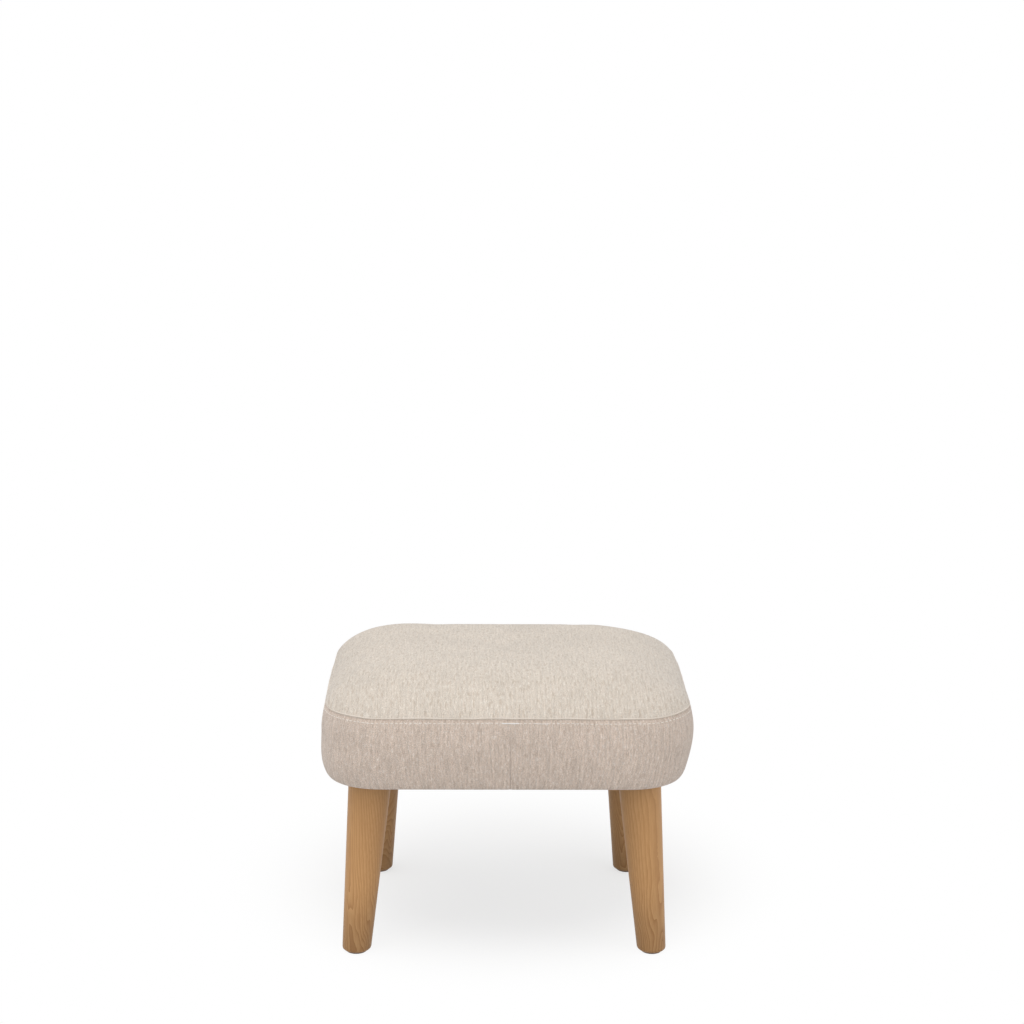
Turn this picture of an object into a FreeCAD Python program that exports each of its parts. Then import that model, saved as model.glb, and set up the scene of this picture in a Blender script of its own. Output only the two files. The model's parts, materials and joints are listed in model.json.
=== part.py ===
import FreeCAD, Part
import math
import os

# Upholstered footstool on four splayed turned legs. Millimetres, +Z up.
# The origin is on the floor under the middle of the cushion, and the front faces -Y.

# cushion, over the cover
cushion_width = 450.0
cushion_depth = 376.0
corner_radius = 76.0
lower_draw_in = 13.0
seam_draw_in = 4.5
bulge_below_seam = 33.0
crown_rise = 40.5
crown_sharpness = 5
corner_softening_ratio = 0.4
crown_flat_ratio = 0.985

# sheet goods and fillings
fabric_thickness = 1.5
dust_cover_thickness = 0.6
wadding_thickness = 3.0
foam_edge_height = 20.5
hem_width = 16.0
dust_cover_margin = 3.0
band_seam_offset = 6.0
wadding_stop = 2.5
border_foam_stop = 8.0

# timber frame
rail_height = 60.0
rail_thickness = 22.0
rail_lap = 22.0
board_thickness = 9.0
block_margin = 20.0
block_chamfer = 18.0

# legs, round in section and level at both ends
leg_length = 219.0
leg_top_radius = 26.5
leg_foot_radius = 17.6
foot_rounding = 3.5
leg_side_inset = 62.0
leg_front_inset = 69.0
side_splay = 18.0
front_splay = 14.5
rear_top_tuck = 3.0
rear_foot_tuck = 12.5

# fixings
bolt_radius = 3.9
bolt_in_leg = 30.0
bolt_past_insert = 2.0
bore_spare = 3.0
insert_length = 20.0
insert_radius = 5.5
insert_flange_radius = 8.0
insert_flange = 1.5
glide_thickness = 2.5
glide_edge = 4.5
glide_chamfer = 0.8
nail_radius = 1.2
nail_length = 14.0
screw_radius = 2.0
screw_head_radius = 3.8
screw_head_height = 2.6
rail_screw_length = 45.0
board_screw_length = 35.0
screw_rise = 34.0
board_screw_offset = 18.0

# clearances
fit_clearance = 0.1
thread_clearance = 0.15
soft_clearance = 0.3
leg_clearance = 0.8

# levels, from the floor up
leg_bottom = glide_thickness
leg_top = leg_bottom + leg_length
frame_bottom = leg_top + dust_cover_thickness
hem_bottom = frame_bottom - fabric_thickness
rim_bottom = hem_bottom - dust_cover_thickness
frame_top = frame_bottom + rail_height
board_top = frame_top + board_thickness
seam_level = board_top + foam_edge_height
widest_level = seam_level - bulge_below_seam

# the frame stands inside the cover where the cover is narrowest
frame_inset = lower_draw_in + fabric_thickness + soft_clearance
frame_half_width = cushion_width / 2 - frame_inset
frame_half_depth = cushion_depth / 2 - frame_inset
wadding_inset = fabric_thickness + soft_clearance
foam_inset = wadding_inset + wadding_thickness + soft_clearance
hem_inset = lower_draw_in + hem_width

lower_steps = 5
upper_steps = 2
crown_steps = 7
foot_steps = 3
leg_steps = 6


def outline(inset, level, softened=0.0):
    """Rounded rectangle, drawn in from the widest outline, as four lines and four arcs."""
    half_width = cushion_width / 2 - inset - softened
    half_depth = cushion_depth / 2 - inset - softened
    radius = corner_radius - inset - softened * corner_softening_ratio
    edges = []
    corners = [(1, -1, -90), (1, 1, 0), (-1, 1, 90), (-1, -1, 180)]
    last_end = None
    first_start = None
    for side, front, start_angle in corners:
        centre_x = side * (half_width - radius)
        centre_y = front * (half_depth - radius)
        points = []
        for share in (0, 45, 90):
            turn = math.radians(start_angle + share)
            x = centre_x + radius * math.cos(turn)
            y = centre_y + radius * math.sin(turn)
            points.append(FreeCAD.Vector(x, y, level))
        if last_end is not None:
            edges.append(Part.makeLine(last_end, points[0]))
        else:
            first_start = points[0]
        edges.append(Part.Arc(points[0], points[1], points[2]).toShape())
        last_end = points[2]
    edges.append(Part.makeLine(last_end, first_start))
    return Part.Wire(edges)


def prism(inset, bottom, top):
    """Upright block with the rounded outline."""
    face = Part.Face(outline(inset, bottom))
    return face.extrude(FreeCAD.Vector(0, 0, top - bottom))


def band_form(inset, bottom):
    """Bulged side of the cushion, from its drawn-in lower edge up to the seam."""
    wires = []
    for step in range(lower_steps + 1):
        turn = math.radians(90 - 90 * step / lower_steps)
        level = widest_level - (widest_level - bottom) * math.sin(turn)
        drawn_in = lower_draw_in * (1 - math.cos(turn))
        wires.append(outline(inset + drawn_in, level))
    for step in range(1, upper_steps + 1):
        share = step / upper_steps
        level = widest_level + (seam_level - widest_level) * share
        wires.append(outline(inset + seam_draw_in * share ** 2, level))
    return Part.makeLoft(wires, True, True)


def crown_form(inset, drop):
    """Crowned top of the cushion above the seam, steep at the edge and flat in the middle."""
    wires = []
    reach = cushion_depth / 2 - seam_draw_in
    for step in range(crown_steps + 1):
        rise = crown_flat_ratio * math.sin(math.radians(90 * step / crown_steps))
        level = seam_level + (crown_rise - drop) * rise / crown_flat_ratio
        softened = reach * (1 - (1 - rise) ** (1 / crown_sharpness))
        wires.append(outline(inset + seam_draw_in, level, softened))
    return Part.makeLoft(wires, True, True)


def cushion_form(inset, drop, bottom):
    """Whole cushion, offset inwards by inset at the sides and by drop on top."""
    return band_form(inset, bottom).fuse(crown_form(inset, drop))


def slab(bottom, top):
    """Level slice that reaches past the cushion on every side."""
    corner = FreeCAD.Vector(-cushion_width, -cushion_depth, bottom)
    return Part.makeBox(2 * cushion_width, 2 * cushion_depth, top - bottom, corner)


def rod(x, y, bottom, top, radius):
    """Upright cylinder between two levels."""
    return Part.makeCylinder(radius, top - bottom, FreeCAD.Vector(x, y, bottom))


def leg_places():
    """Name, top centre and foot centre of each leg."""
    top_x = cushion_width / 2 - leg_side_inset
    top_y = cushion_depth / 2 - leg_front_inset
    places = []
    for front, end in ((-1, "front"), (1, "back")):
        top_tuck = rear_top_tuck if front > 0 else 0
        foot_tuck = rear_foot_tuck if front > 0 else 0
        for side, hand in ((-1, "left"), (1, "right")):
            top = (side * (top_x - top_tuck), front * top_y)
            foot = (side * (top_x + side_splay - foot_tuck), front * (top_y + front_splay))
            places.append((end + "_" + hand, side, front, top, foot))
    return places


def leg_section(top, foot, level, shrink):
    """Level round section of a leg, on its splayed axis."""
    share = (level - leg_bottom) / leg_length
    centre_x = foot[0] + (top[0] - foot[0]) * share
    centre_y = foot[1] + (top[1] - foot[1]) * share
    radius = leg_foot_radius + (leg_top_radius - leg_foot_radius) * share - shrink
    circle = Part.makeCircle(radius, FreeCAD.Vector(centre_x, centre_y, level))
    return Part.Wire([circle])


def leg(top, foot):
    """Tapered leg on its splayed axis, rounded at the foot, level at both ends, bored for bolt and nail."""
    sections = []
    for step in range(foot_steps + 1):
        turn = math.radians(90 - 90 * step / foot_steps)
        level = leg_bottom + foot_rounding * (1 - math.sin(turn))
        sections.append(leg_section(top, foot, level, foot_rounding * (1 - math.cos(turn))))
    for step in range(1, leg_steps + 1):
        level = leg_bottom + foot_rounding + (leg_length - foot_rounding) * step / leg_steps
        sections.append(leg_section(top, foot, level, 0))
    turned = Part.makeLoft(sections, True, True)
    bolt_bore = rod(top[0], top[1], leg_top - bolt_in_leg - bore_spare, leg_top, bolt_radius + thread_clearance)
    nail_bore = rod(foot[0], foot[1], leg_bottom, leg_bottom + nail_length + bore_spare, nail_radius + fit_clearance)
    return turned.cut(bolt_bore).cut(nail_bore)


def glide(foot):
    """Round nail-on glide under a foot."""
    radius = leg_foot_radius - glide_edge
    disc = rod(foot[0], foot[1], 0, glide_thickness, radius)
    floor_edges = [edge for edge in disc.Edges if edge.BoundBox.ZMax < glide_thickness / 2]
    disc = disc.makeChamfer(glide_chamfer, floor_edges)
    return disc.fuse(rod(foot[0], foot[1], glide_thickness, glide_thickness + nail_length, nail_radius))


def hanger_bolt(top):
    """Double-ended bolt from the leg into the corner block."""
    upper_end = frame_bottom + insert_length + bolt_past_insert
    return rod(top[0], top[1], leg_top - bolt_in_leg, upper_end, bolt_radius)


def threaded_insert(top):
    """Flanged sleeve that takes the bolt, set flush in the underside of the block."""
    sleeve = rod(top[0], top[1], frame_bottom, frame_bottom + insert_length, insert_radius)
    flange = rod(top[0], top[1], frame_bottom, frame_bottom + insert_flange, insert_flange_radius)
    bore = rod(top[0], top[1], frame_bottom, frame_bottom + insert_length, bolt_radius + thread_clearance)
    return sleeve.fuse(flange).removeSplitter().cut(bore)


def frame_plan():
    """Outline of the timber frame as one block, from which rails and corner blocks are cut."""
    return prism(frame_inset, frame_bottom, frame_top)


def block_reach(top):
    """How near the centre lines a corner block comes, from the leg that it carries."""
    reach_x = abs(top[0]) - leg_top_radius - block_margin
    reach_y = abs(top[1]) - leg_top_radius - block_margin
    return reach_x, reach_y


def box_between(x1, x2, y1, y2, bottom, top):
    """Box from plan coordinates given in either order."""
    corner = FreeCAD.Vector(min(x1, x2), min(y1, y2), bottom)
    return Part.makeBox(abs(x2 - x1), abs(y2 - y1), top - bottom, corner)


def long_rail_zone(end_x, front):
    """Room that a front or back rail takes, between its two laps."""
    outer = front * frame_half_depth
    inner = front * (frame_half_depth - rail_thickness)
    return box_between(-end_x, end_x, inner, outer, frame_bottom, frame_top)


def side_rail_zone(end_front, end_back, side):
    """Room that a side rail takes, between its two laps."""
    outer = side * frame_half_width
    inner = side * (frame_half_width - rail_thickness)
    return box_between(inner, outer, -end_front, end_back, frame_bottom, frame_top)


def rail_ends():
    """Where the rails stop: past the corner block's inner face by the lap."""
    ends = {}
    for name, side, front, top, foot in leg_places():
        reach_x, reach_y = block_reach(top)
        ends[name] = (reach_x + rail_lap, reach_y + rail_lap)
    return ends


def rail_zones():
    """The four rails' rooms by name."""
    ends = rail_ends()
    zones = {}
    zones["front_rail"] = long_rail_zone(ends["front_left"][0], -1)
    zones["back_rail"] = long_rail_zone(ends["back_left"][0], 1)
    zones["left_rail"] = side_rail_zone(ends["front_left"][1], ends["back_left"][1], -1)
    zones["right_rail"] = side_rail_zone(ends["front_right"][1], ends["back_right"][1], 1)
    return zones


def corner_block(side, front, top, zones):
    """Solid corner with the rounded outer edge, rebated for both rails and bored for the insert."""
    reach_x, reach_y = block_reach(top)
    room = box_between(side * reach_x, side * frame_half_width, front * reach_y, front * frame_half_depth,
                       frame_bottom, frame_top)
    block = frame_plan().common(room)
    chamfer = [
        FreeCAD.Vector(side * reach_x, front * reach_y, frame_bottom),
        FreeCAD.Vector(side * (reach_x + block_chamfer), front * reach_y, frame_bottom),
        FreeCAD.Vector(side * reach_x, front * (reach_y + block_chamfer), frame_bottom),
    ]
    chamfer.append(chamfer[0])
    wedge = Part.Face(Part.makePolygon(chamfer)).extrude(FreeCAD.Vector(0, 0, rail_height))
    block = block.cut(wedge)
    for zone in zones.values():
        block = block.cut(zone)
    sleeve_bore = rod(top[0], top[1], frame_bottom, frame_bottom + insert_length + bolt_past_insert + bore_spare,
                      insert_radius + fit_clearance)
    flange_bore = rod(top[0], top[1], frame_bottom, frame_bottom + insert_flange,
                      insert_flange_radius + fit_clearance)
    return block.cut(sleeve_bore).cut(flange_bore)


def screw(point, direction, length, gap=0.0):
    """Countersunk screw with its head at the point; gap makes the hole that it goes in."""
    head = Part.makeCone(screw_head_radius + gap, screw_radius + gap, screw_head_height + gap, point, direction)
    shank = Part.makeCylinder(screw_radius + gap, length + gap, point, direction)
    return head.fuse(shank).removeSplitter()


def screw_places():
    """Head centre, direction and length of every screw in the frame."""
    places = []
    down = FreeCAD.Vector(0, 0, -1)
    for name, side, front, top, foot in leg_places():
        reach_x, reach_y = block_reach(top)
        level = frame_bottom + screw_rise
        on_long = FreeCAD.Vector(side * (reach_x + rail_lap / 2), front * frame_half_depth, level)
        places.append((on_long, FreeCAD.Vector(0, -front, 0), rail_screw_length))
        on_side = FreeCAD.Vector(side * frame_half_width, front * (reach_y + rail_lap / 2), level)
        places.append((on_side, FreeCAD.Vector(-side, 0, 0), rail_screw_length))
        on_block = FreeCAD.Vector(top[0] + side * board_screw_offset, top[1] + front * board_screw_offset, board_top)
        places.append((on_block, down, board_screw_length))
    return places


def without_screws(shape):
    """The timber with its screw holes."""
    holes = [screw(point, way, length, fit_clearance) for point, way, length in screw_places()]
    near = [hole for hole in holes if hole.BoundBox.intersect(shape.BoundBox)]
    return shape.cut(near)


def leg_rooms():
    """Clear cylinders round the leg tops, for the cloth under the frame."""
    rooms = []
    for name, side, front, top, foot in leg_places():
        rooms.append(rod(top[0], top[1], rim_bottom, leg_top, leg_top_radius + leg_clearance))
    return rooms


def cover_shell():
    """Fabric side of the cover with its hem turned under the frame."""
    outer = band_form(0, hem_bottom)
    inner = band_form(fabric_thickness, frame_bottom)
    opening = prism(hem_inset, hem_bottom, frame_bottom)
    shell = outer.cut(inner).cut(opening)
    return shell.cut(leg_rooms())


def side_band(side):
    """One half of the side band, from the front seam to the back seam."""
    far = side * cushion_width
    half = box_between(band_seam_offset, far, -cushion_depth, cushion_depth, 0, seam_level)
    return cover_shell().common(half)


def top_panel():
    """Fabric top of the cover above the seam."""
    return crown_form(0, 0).cut(crown_form(fabric_thickness, fabric_thickness))


def wadding():
    """Thin fibre layer between the foam and the cover."""
    outer = cushion_form(wadding_inset, wadding_inset, frame_bottom)
    inset = wadding_inset + wadding_thickness
    inner = cushion_form(inset, inset, frame_bottom)
    below = slab(0, frame_bottom + wadding_stop)
    return outer.cut(inner).cut(below)


def foam_block():
    """Seat foam on the board, crowned on top."""
    form = cushion_form(foam_inset, foam_inset, frame_bottom)
    return form.cut(slab(0, board_top))


def border_foam():
    """Foam strip round the outside of the frame, up to the underside of the seat foam."""
    form = cushion_form(foam_inset, foam_inset, frame_bottom)
    strip = form.common(slab(frame_bottom + border_foam_stop, board_top))
    return strip.cut(prism(frame_inset - soft_clearance, frame_bottom, board_top))


def dust_cover():
    """Cloth under the frame, stepped down over the hem at its rim."""
    rim_inset = lower_draw_in + dust_cover_margin
    wall_outer = hem_inset + soft_clearance
    wall_inner = wall_outer + dust_cover_thickness
    rim = prism(rim_inset, rim_bottom, hem_bottom).cut(prism(wall_inner, rim_bottom, hem_bottom))
    wall = prism(wall_outer, rim_bottom, frame_bottom).cut(prism(wall_inner, rim_bottom, frame_bottom))
    middle = prism(wall_outer, leg_top, frame_bottom)
    cloth = rim.fuse(wall).fuse(middle).cut(leg_rooms())
    for name, side, front, top, foot in leg_places():
        cloth = cloth.cut(rod(top[0], top[1], leg_top, frame_bottom, bolt_radius + leg_clearance))
    return cloth.removeSplitter()


def build():
    nodes = {}
    zones = rail_zones()
    for name, side, front, top, foot in leg_places():
        nodes["leg_" + name] = leg(top, foot)
        nodes["glide_" + name] = glide(foot)
        nodes["corner_block_" + name] = without_screws(corner_block(side, front, top, zones))
    for name, zone in zones.items():
        nodes[name] = without_screws(frame_plan().common(zone))
    board = prism(frame_inset, frame_top, board_top)
    nodes["seat_board"] = without_screws(board)
    nodes["frame_screws"] = Part.makeCompound([screw(*place) for place in screw_places()])
    nodes["hanger_bolts"] = Part.makeCompound([hanger_bolt(place[3]) for place in leg_places()])
    nodes["threaded_inserts"] = Part.makeCompound([threaded_insert(place[3]) for place in leg_places()])
    nodes["border_foam"] = border_foam()
    nodes["foam_block"] = foam_block()
    nodes["wadding"] = wadding()
    nodes["side_band_left"] = side_band(-1)
    nodes["side_band_right"] = side_band(1)
    nodes["top_panel"] = top_panel()
    nodes["dust_cover"] = dust_cover()
    return nodes


os.makedirs("parts", exist_ok=True)
for name, shape in build().items():
    shape.exportStep("parts/" + name + ".step")
    print(name, len(shape.Solids), round(shape.Volume / 1000, 2), "cm3", shape.isValid())
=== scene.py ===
import json
import math
import bpy
import bmesh
from mathutils import Matrix, Vector, noise
from mathutils.bvhtree import BVHTree

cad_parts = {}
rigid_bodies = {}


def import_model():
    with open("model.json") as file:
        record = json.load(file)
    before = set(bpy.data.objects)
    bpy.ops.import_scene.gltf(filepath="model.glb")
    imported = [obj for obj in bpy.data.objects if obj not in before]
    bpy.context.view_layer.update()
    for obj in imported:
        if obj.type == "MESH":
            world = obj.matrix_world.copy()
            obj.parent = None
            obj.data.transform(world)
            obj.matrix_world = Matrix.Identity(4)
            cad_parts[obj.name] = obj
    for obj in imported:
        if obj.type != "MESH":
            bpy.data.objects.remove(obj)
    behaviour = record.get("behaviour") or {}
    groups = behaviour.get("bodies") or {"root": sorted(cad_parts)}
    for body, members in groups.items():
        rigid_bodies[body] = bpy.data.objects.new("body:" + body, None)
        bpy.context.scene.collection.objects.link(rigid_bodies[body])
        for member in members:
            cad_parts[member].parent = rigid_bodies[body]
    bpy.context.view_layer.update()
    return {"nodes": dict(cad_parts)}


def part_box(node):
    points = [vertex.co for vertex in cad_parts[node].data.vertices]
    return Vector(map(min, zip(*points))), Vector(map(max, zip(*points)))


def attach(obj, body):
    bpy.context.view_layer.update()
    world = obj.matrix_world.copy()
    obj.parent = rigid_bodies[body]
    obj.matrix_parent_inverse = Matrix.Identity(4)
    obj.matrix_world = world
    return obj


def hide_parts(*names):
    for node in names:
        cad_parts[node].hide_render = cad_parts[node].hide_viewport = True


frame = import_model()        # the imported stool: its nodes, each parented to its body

nodes = frame["nodes"]
print("frame loaded:", len(nodes), "nodes")


def clamped(value):
    return min(max(value, 0), 1)


def eased(share):
    return share * share * (3 - 2 * share)


def deselectAll():
    if bpy.context.object and bpy.context.object.mode != "OBJECT":
        bpy.ops.object.mode_set(mode="OBJECT")
    bpy.ops.object.select_all(action="DESELECT")


def pick(piece):
    deselectAll()
    piece.select_set(True)
    bpy.context.view_layer.objects.active = piece


def applyAll(piece):
    pick(piece)
    for modifier in list(piece.modifiers):
        bpy.ops.object.modifier_apply(modifier=modifier.name)


def smooth(piece, degrees):
    pick(piece)
    bpy.ops.object.shade_smooth_by_angle(angle=math.radians(degrees))


def faceOutwards(piece, mergeDistance=None):
    pick(piece)
    bpy.ops.object.mode_set(mode="EDIT")
    bpy.ops.mesh.select_all(action="SELECT")
    if mergeDistance:
        bpy.ops.mesh.remove_doubles(threshold=mergeDistance)
    bpy.ops.mesh.normals_make_consistent(inside=False)
    bpy.ops.object.mode_set(mode="OBJECT")


def linear(hexColour):
    values = [int(hexColour[i:i + 2], 16) / 255 for i in (1, 3, 5)]
    return tuple(v / 12.92 if v <= 0.04045 else ((v + 0.055) / 1.055) ** 2.4 for v in values) + (1.0,)


# materials: each helper adds one kind of node and gives back what the next one reads

def newMaterial(name):
    material = bpy.data.materials.new(name)
    material.use_nodes = True
    tree = material.node_tree
    shader = next(n for n in tree.nodes if n.type == "BSDF_PRINCIPLED")
    return material, tree, shader


def addNode(tree, kind, settings=None, inputs=None):
    # inputs: socket name or number -> a value, or an output socket to link from
    node = tree.nodes.new(kind)
    for key, value in (settings or {}).items():
        setattr(node, key, value)
    for key, value in (inputs or {}).items():
        if isinstance(value, bpy.types.NodeSocket):
            tree.links.new(value, node.inputs[key])
        else:
            node.inputs[key].default_value = value
    return node


def mapped(tree, vector, scale=(1, 1, 1), place=(0, 0, 0), turn=(0, 0, 0)):
    return addNode(tree, "ShaderNodeMapping", inputs={
        "Vector": vector, "Scale": scale, "Location": place, "Rotation": turn}).outputs[0]


def noiseOver(tree, vector, scale, detail, roughness=0.5, dimensions="3D"):
    return addNode(tree, "ShaderNodeTexNoise", {"noise_dimensions": dimensions}, {
        "Vector": vector, "Scale": scale, "Detail": detail, "Roughness": roughness})


def ranged(tree, value, fromLow, fromHigh, toLow=0.0, toHigh=1.0, kind="LINEAR"):
    return addNode(tree, "ShaderNodeMapRange", {"interpolation_type": kind}, {
        "Value": value, 1: fromLow, 2: fromHigh, 3: toLow, 4: toHigh}).outputs[0]


def blended(tree, share, first, second, kind="MIX"):
    return addNode(tree, "ShaderNodeMix", {"data_type": "RGBA", "blend_type": kind}, {
        0: share, 6: first, 7: second}).outputs[2]


def multiplied(tree, colour, factor):
    return blended(tree, 1.0, colour, factor, "MULTIPLY")


def dress(tree, shader, colour, height, bumpStrength, bumpDistance):
    tree.links.new(colour, shader.inputs["Base Color"])
    bump = addNode(tree, "ShaderNodeBump", inputs={
        "Strength": bumpStrength, "Distance": bumpDistance, "Height": height})
    tree.links.new(bump.outputs[0], shader.inputs["Normal"])


chenille = {
    "top": {"base": "#d8cdc0", "dark": "#c4b4a3", "light": "#e9e2d8",
            "fleckStrength": 0.72, "streakDepth": 0.05, "grainDepth": 0.12},
    "band": {"base": "#d6c5b7", "dark": "#bda898", "light": "#ebe2db",
             "fleckStrength": 0.60, "streakDepth": 0.075, "grainDepth": 0.18},
    "yarnPitch": 0.0016,      # one pile column every 1.6 mm
    "fleckLong": 0.0060, "streakLong": 0.022, "grainSize": 0.0011,
    "darkScale": 0.62, "darkRange": (0.50, 0.68), "lightScale": 0.7, "lightRange": (0.52, 0.70),
    "lightWiden": (1.13, 1.6), "lightShift": (37.1, 11.3, 0),      # so pale flecks fall elsewhere
    "streakScale": 0.7, "streakWiden": 0.8, "streakShift": (5.3, 71.9, 0),
    "cloudScale": 9.0, "cloudDepth": 0.03, "cloudRange": (0.35, 0.65), "yarnRange": (0.3, 0.7),
    "ribScale": 1.7, "ribStrength": 0.55, "ribHeight": 0.0009,
    "sheen": 0.25, "sheenRoughness": 0.5, "roughness": 0.92, "gloss": 0.25,
}


def chenilleCloth(name, look):
    # melange chenille, cut pile woven in columns: tan and white flecks run along them, soft and dull
    material, tree, shader = newMaterial(name)
    uv = addNode(tree, "ShaderNodeUVMap", {"uv_map": "weave"}).outputs["UV"]
    column, run = 1 / chenille["yarnPitch"], 1 / chenille["fleckLong"]
    wide, tall = chenille["lightWiden"]
    flecks = mapped(tree, uv, (column, run, 1))
    paleFlecks = mapped(tree, uv, (column * wide, run * tall, 1), chenille["lightShift"])
    streaks = mapped(tree, uv, (column * chenille["streakWiden"], 1 / chenille["streakLong"], 1),
                     chenille["streakShift"])
    darkNoise = noiseOver(tree, flecks, chenille["darkScale"], 3, 0.6, "2D").outputs[0]
    lightNoise = noiseOver(tree, paleFlecks, chenille["lightScale"], 3, 0.65, "2D").outputs[0]
    darkMask = ranged(tree, darkNoise, *chenille["darkRange"], 0.0, look["fleckStrength"])
    lightMask = ranged(tree, lightNoise, *chenille["lightRange"], 0.0, look["fleckStrength"])
    colour = blended(tree, darkMask, linear(look["base"]), linear(look["dark"]))
    colour = blended(tree, lightMask, colour, linear(look["light"]))
    clouds = noiseOver(tree, uv, chenille["cloudScale"], 2, dimensions="2D").outputs[0]
    streakNoise = noiseOver(tree, streaks, chenille["streakScale"], 1, dimensions="2D").outputs[0]
    grainNoise = noiseOver(tree, uv, 1 / chenille["grainSize"], 1, dimensions="2D").outputs[0]
    for pattern, reach, depth in ((clouds, "cloudRange", chenille["cloudDepth"]),
                                  (streakNoise, "yarnRange", look["streakDepth"]),
                                  (grainNoise, "yarnRange", look["grainDepth"])):
        colour = multiplied(tree, colour, ranged(tree, pattern, *chenille[reach], 1 - depth, 1 + depth))
    ribs = noiseOver(tree, flecks, chenille["ribScale"], 4, 0.7, "2D").outputs[0]
    dress(tree, shader, colour, ribs, chenille["ribStrength"], chenille["ribHeight"])
    shader.inputs["Roughness"].default_value = chenille["roughness"]
    shader.inputs["Sheen Weight"].default_value = chenille["sheen"]
    shader.inputs["Sheen Roughness"].default_value = chenille["sheenRoughness"]
    shader.inputs["Specular IOR Level"].default_value = chenille["gloss"]
    return material


legWood = {
    "pale": "#d5a672", "mid": "#ca9a67", "dark": "#b48353", "pore": "#a67442", "midAt": 0.55,
    "ringWidth": 0.0031,      # growth rings about 3 mm apart
    "waveRepeat": 0.314,      # at scale 1 the wave pattern repeats after this
    "pithAway": 0.034,        # the tree's heart lies beside the leg: rings show as lines and low arches
    "lean": 0.075,
    "longwise": 0.22, "driftScale": 34, "patchScale": 22,
    # the figure swings out near the foot and is fainter above it
    "bodyWander": 0.010, "footWander": 0.040, "wanderLevels": (0.03, 0.12),
    "bodyCalm": 0.5, "footCalm": 0.05, "calmLevels": (0.03, 0.13),
    "fibreScale": (1400, 1400, 22), "fibreRange": (0.45, 0.75), "fibreDepth": 0.42,
    "patchRange": (0.3, 0.7), "patchTones": (0.9, 1.06),
    "paintedFootShade": 0.66, "paintedFootShadeUpTo": 0.10,      # painted shade: the wood is darker towards the floor, where less light reaches the lower leg
    # painted shade: the back legs' wood is darker, for the shade they stand in under the seat
    "backTone": 0.93,
    "poreStrength": 0.12, "poreDepth": 0.0002,
    "roughness": 0.48, "gloss": 0.3,
}


def satinBeech(name, centre, heading, seed, paintedLegShade):
    # hardwood turned and sanded, clear satin lacquer: fine straight lines that arch near the foot, with
    # painted shade towards the foot and on the back legs
    material, tree, shader = newMaterial(name)
    coords = addNode(tree, "ShaderNodeTexCoord").outputs["Object"]
    height = addNode(tree, "ShaderNodeSeparateXYZ", inputs={"Vector": coords}).outputs["Z"]
    onAxis = mapped(tree, coords, place=(-centre[0], -centre[1], 0))
    lean = mapped(tree, onAxis, place=(0, legWood["pithAway"], 0),
                  turn=(legWood["lean"], legWood["lean"] * 0.5, heading))
    long = mapped(tree, lean, (1, 1, legWood["longwise"]), (seed, seed, seed))
    drift = noiseOver(tree, long, legWood["driftScale"], 2).outputs["Color"]
    centred = addNode(tree, "ShaderNodeVectorMath", {"operation": "SUBTRACT"},
                      {0: drift, 1: (0.5, 0.5, 0.5)})
    wander = ranged(tree, height, *legWood["wanderLevels"], legWood["footWander"], legWood["bodyWander"],
                    "SMOOTHSTEP")
    push = addNode(tree, "ShaderNodeVectorMath", {"operation": "SCALE"},
                   {0: centred.outputs[0], "Scale": wander})
    bent = addNode(tree, "ShaderNodeVectorMath", {"operation": "ADD"}, {0: lean, 1: push.outputs[0]})
    rings = addNode(tree, "ShaderNodeTexWave",
                    {"wave_type": "RINGS", "rings_direction": "Z", "wave_profile": "SAW"},
                    {"Vector": bent.outputs[0], "Scale": legWood["waveRepeat"] / legWood["ringWidth"],
                     "Distortion": 0.6, "Detail": 2, "Detail Scale": 2.0})
    ramp = addNode(tree, "ShaderNodeValToRGB", inputs={"Fac": rings.outputs["Fac"]})
    stops = ramp.color_ramp.elements
    stops.new(legWood["midAt"])
    for stop, place, tint in zip(stops, (0.0, legWood["midAt"], 1.0), ("pale", "mid", "dark")):
        stop.position = place
        stop.color = linear(legWood[tint])
    calm = ranged(tree, height, *legWood["calmLevels"], legWood["footCalm"], legWood["bodyCalm"],
                  "SMOOTHSTEP")
    colour = blended(tree, calm, ramp.outputs[0], linear(legWood["mid"]))
    fine = mapped(tree, lean, legWood["fibreScale"], (seed, 0, seed))
    fibres = noiseOver(tree, fine, 1, 3, 0.6).outputs[0]
    fibreMask = ranged(tree, fibres, *legWood["fibreRange"], 0.0, legWood["fibreDepth"])
    colour = blended(tree, fibreMask, colour, linear(legWood["pore"]))
    patches = noiseOver(tree, long, legWood["patchScale"], 1).outputs[0]
    patchTone = ranged(tree, patches, *legWood["patchRange"], *legWood["patchTones"])
    colour = multiplied(tree, colour, patchTone)
    # painted shade: the colour darkens towards the foot, where less light reaches the lower leg
    paintedFootShade = ranged(tree, height, 0.0, legWood["paintedFootShadeUpTo"], legWood["paintedFootShade"] * paintedLegShade, paintedLegShade,
                      "SMOOTHSTEP")
    colour = multiplied(tree, colour, paintedFootShade)
    dress(tree, shader, colour, fibres, legWood["poreStrength"], legWood["poreDepth"])
    shader.inputs["Roughness"].default_value = legWood["roughness"]
    shader.inputs["Specular IOR Level"].default_value = legWood["gloss"]
    return material


plainLook = {"spotDetail": 4, "spotRoughness": 0.6, "spotRange": (0.35, 0.65), "bumpStrength": 0.3}


def plainFinish(name, colour, second, scale, roughness, metallic=0.0, stretch=(1, 1, 1),
                bumpDistance=0.0002):
    material, tree, shader = newMaterial(name)
    place = mapped(tree, addNode(tree, "ShaderNodeTexCoord").outputs["Object"], stretch)
    spots = noiseOver(tree, place, scale, plainLook["spotDetail"], plainLook["spotRoughness"]).outputs[0]
    share = ranged(tree, spots, *plainLook["spotRange"])
    mixed = blended(tree, share, linear(colour), linear(second))
    dress(tree, shader, mixed, spots, plainLook["bumpStrength"], bumpDistance)
    shader.inputs["Roughness"].default_value = roughness
    shader.inputs["Metallic"].default_value = metallic
    return material


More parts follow.
